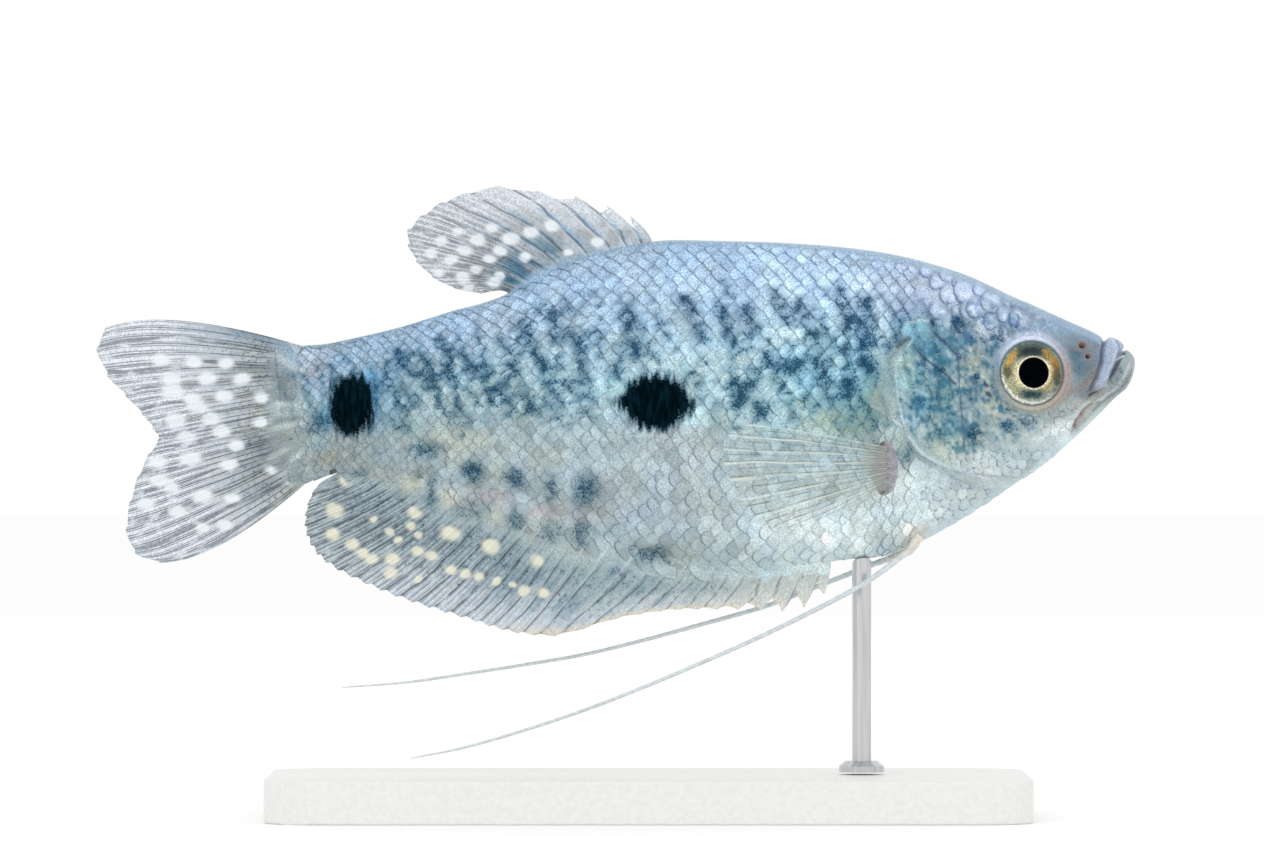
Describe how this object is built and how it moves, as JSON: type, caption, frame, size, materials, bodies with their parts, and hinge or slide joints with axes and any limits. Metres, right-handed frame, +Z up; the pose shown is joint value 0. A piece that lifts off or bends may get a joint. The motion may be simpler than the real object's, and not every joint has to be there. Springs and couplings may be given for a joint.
{
  "type": "blue gourami fish model on a display stand",
  "caption": "Life-size still model of a blue gourami with spread fins and long thread-like feelers, held over a flat rounded base by one short rod.",
  "frame": {"origin": "on the floor, below the middle of the fish's length and in its middle plane", "axes": "+X towards the mouth, +Y to the fish's left, +Z up"},
  "size_m": [0.12, 0.046, 0.0732],
  "materials": {
    "skin": "satin scaled skin, pale blue with dark blue marks",
    "lips": "satin bare skin, grey blue",
    "eye": "wet gloss, black pupil in a silver and gold iris",
    "fin": "satin, grey with dark rays and whitish spots",
    "pectoral": "clear satin membrane with fine rays",
    "feeler": "satin, pale grey",
    "base": "satin off-white",
    "rod": "brushed"
  },
  "bodies": {
    "root": {"head": "skin", "gill_cover_right": "skin", "gill_cover_left": "skin", "trunk": "skin", "tail_stalk": "skin", "upper_lip": "lips", "lower_jaw": "lips", "eye_right": "eye", "eye_left": "eye", "dorsal_fin": "fin", "anal_fin": "fin", "tail_fin": "fin", "pectoral_fin_right": "pectoral", "pectoral_fin_left": "pectoral", "pelvic_feeler_right": "feeler", "pelvic_feeler_left": "feeler", "stand_base": "base", "stand_rod": "rod"}
  },
  "joints": []
}
